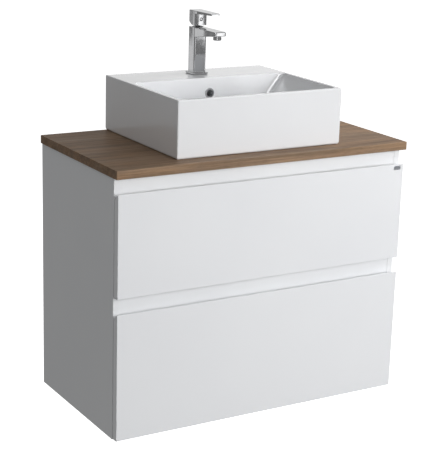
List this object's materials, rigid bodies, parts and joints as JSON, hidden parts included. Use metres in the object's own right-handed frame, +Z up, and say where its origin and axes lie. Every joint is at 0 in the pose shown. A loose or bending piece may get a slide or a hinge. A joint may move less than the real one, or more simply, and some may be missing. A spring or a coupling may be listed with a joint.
{
  "type": "vessel sink vanity",
  "caption": "Wall-hung bathroom vanity with handleless drawers, a wood-look worktop, a rectangular white vessel basin and a single-lever chrome tap.",
  "frame": {"origin": "middle of the steel wall rail's back face, on the wall", "axes": "+X to the right as seen from the front, +Y into the wall, +Z up"},
  "size_m": [0.8, 0.45, 0.9455],
  "materials": {
    "white_board": "satin white melamine",
    "white_front": "white gloss lacquer",
    "worktop_laminate": "brown wood-look laminate",
    "glazed_ceramic": "white glaze",
    "chrome": "polished chrome",
    "zinc_steel": "zinc plated",
    "brass": "machined",
    "rubber": "matte",
    "grey_plastic": "light grey moulded",
    "dark_ring": "dark ring with a light centre",
    "brushed_tag": "brushed, blank"
  },
  "bodies": {
    "cabinet": {"side_panel_left": "white_board", "side_panel_right": "white_board", "bottom_panel": "white_board", "grip_rail_upper": "white_board", "grip_rail_middle": "white_board", "lower_back_rail": "white_board", "hanging_rail": "white_board", "worktop": "worktop_laminate", "worktop_fixings": "zinc_steel", "wall_rail": "zinc_steel", "hanging_brackets": "zinc_steel", "cabinet_rails": "zinc_steel", "basin": "glazed_ceramic", "overflow_ring": "chrome", "waste_body": "chrome", "waste_washer": "rubber", "waste_nut": "brass", "trap_inlet_pipe": "chrome", "trap_bottle": "chrome", "trap_cup": "chrome", "trap_nuts": "chrome", "trap_outlet_pipe": "chrome", "wall_flange": "chrome", "tap_seals": "rubber", "tap_base_plate": "chrome", "tap_body": "chrome", "aerator_shell": "chrome", "aerator_insert": "grey_plastic", "cartridge": "grey_plastic", "cartridge_nut": "brass", "cartridge_collar": "chrome", "tap_stud": "zinc_steel", "clamp_washer": "zinc_steel", "clamp_nut": "brass"},
    "drawer_upper": {"drawer_front_upper": "white_front", "blank_badge": "brushed_tag", "drawer_side_upper_left": "white_board", "drawer_side_upper_right": "white_board", "drawer_base_upper": "white_board", "drawer_back_upper": "white_board", "trap_guard": "grey_plastic", "front_fixings_upper": "zinc_steel", "drawer_rails_upper": "zinc_steel"},
    "drawer_lower": {"drawer_front_lower": "white_front", "drawer_side_lower_left": "white_board", "drawer_side_lower_right": "white_board", "drawer_base_lower": "white_board", "drawer_back_lower": "white_board", "front_fixings_lower": "zinc_steel", "drawer_rails_lower": "zinc_steel"},
    "runner_upper": {"middle_rails_upper": "zinc_steel"},
    "runner_lower": {"middle_rails_lower": "zinc_steel"},
    "turret": {"tap_turret": "chrome", "lever_pin": "zinc_steel"},
    "lever": {"lever": "chrome", "lever_indicator": "dark_ring"},
    "plug": {"plug_cap": "chrome", "plug_seal": "rubber", "plug_stem": "brass"}
  },
  "joints": [
    {"name": "drawer_upper_slide", "type": "slide", "parent": "cabinet", "child": "drawer_upper", "axis": [0, -1, 0], "range_m": [0, 0.3]},
    {"name": "runner_upper_slide", "type": "slide", "parent": "cabinet", "child": "runner_upper", "axis": [0, -1, 0], "range_m": [0, 0.15]},
    {"name": "drawer_lower_slide", "type": "slide", "parent": "cabinet", "child": "drawer_lower", "axis": [0, -1, 0], "range_m": [0, 0.3]},
    {"name": "runner_lower_slide", "type": "slide", "parent": "cabinet", "child": "runner_lower", "axis": [0, -1, 0], "range_m": [0, 0.15]},
    {"name": "lever_turn", "type": "hinge", "parent": "cabinet", "child": "turret", "pos_m": [0, -0.06, 0.326], "axis": [0, 0, 1], "range_deg": [-45, 45]},
    {"name": "lever_lift", "type": "hinge", "parent": "turret", "child": "lever", "pos_m": [0, -0.06, 0.346], "axis": [-1, 0, 0], "range_deg": [0, 20]},
    {"name": "plug_press", "type": "slide", "parent": "cabinet", "child": "plug", "axis": [0, 0, -1], "range_m": [0, 0.0065], "stiffness_N_per_m": 800, "springref_m": -0.006}
  ],
  "couplings": [
    {"joint": "runner_upper_slide", "follows": "drawer_upper_slide", "ratio": 0.5},
    {"joint": "runner_lower_slide", "follows": "drawer_lower_slide", "ratio": 0.5}
  ]
}
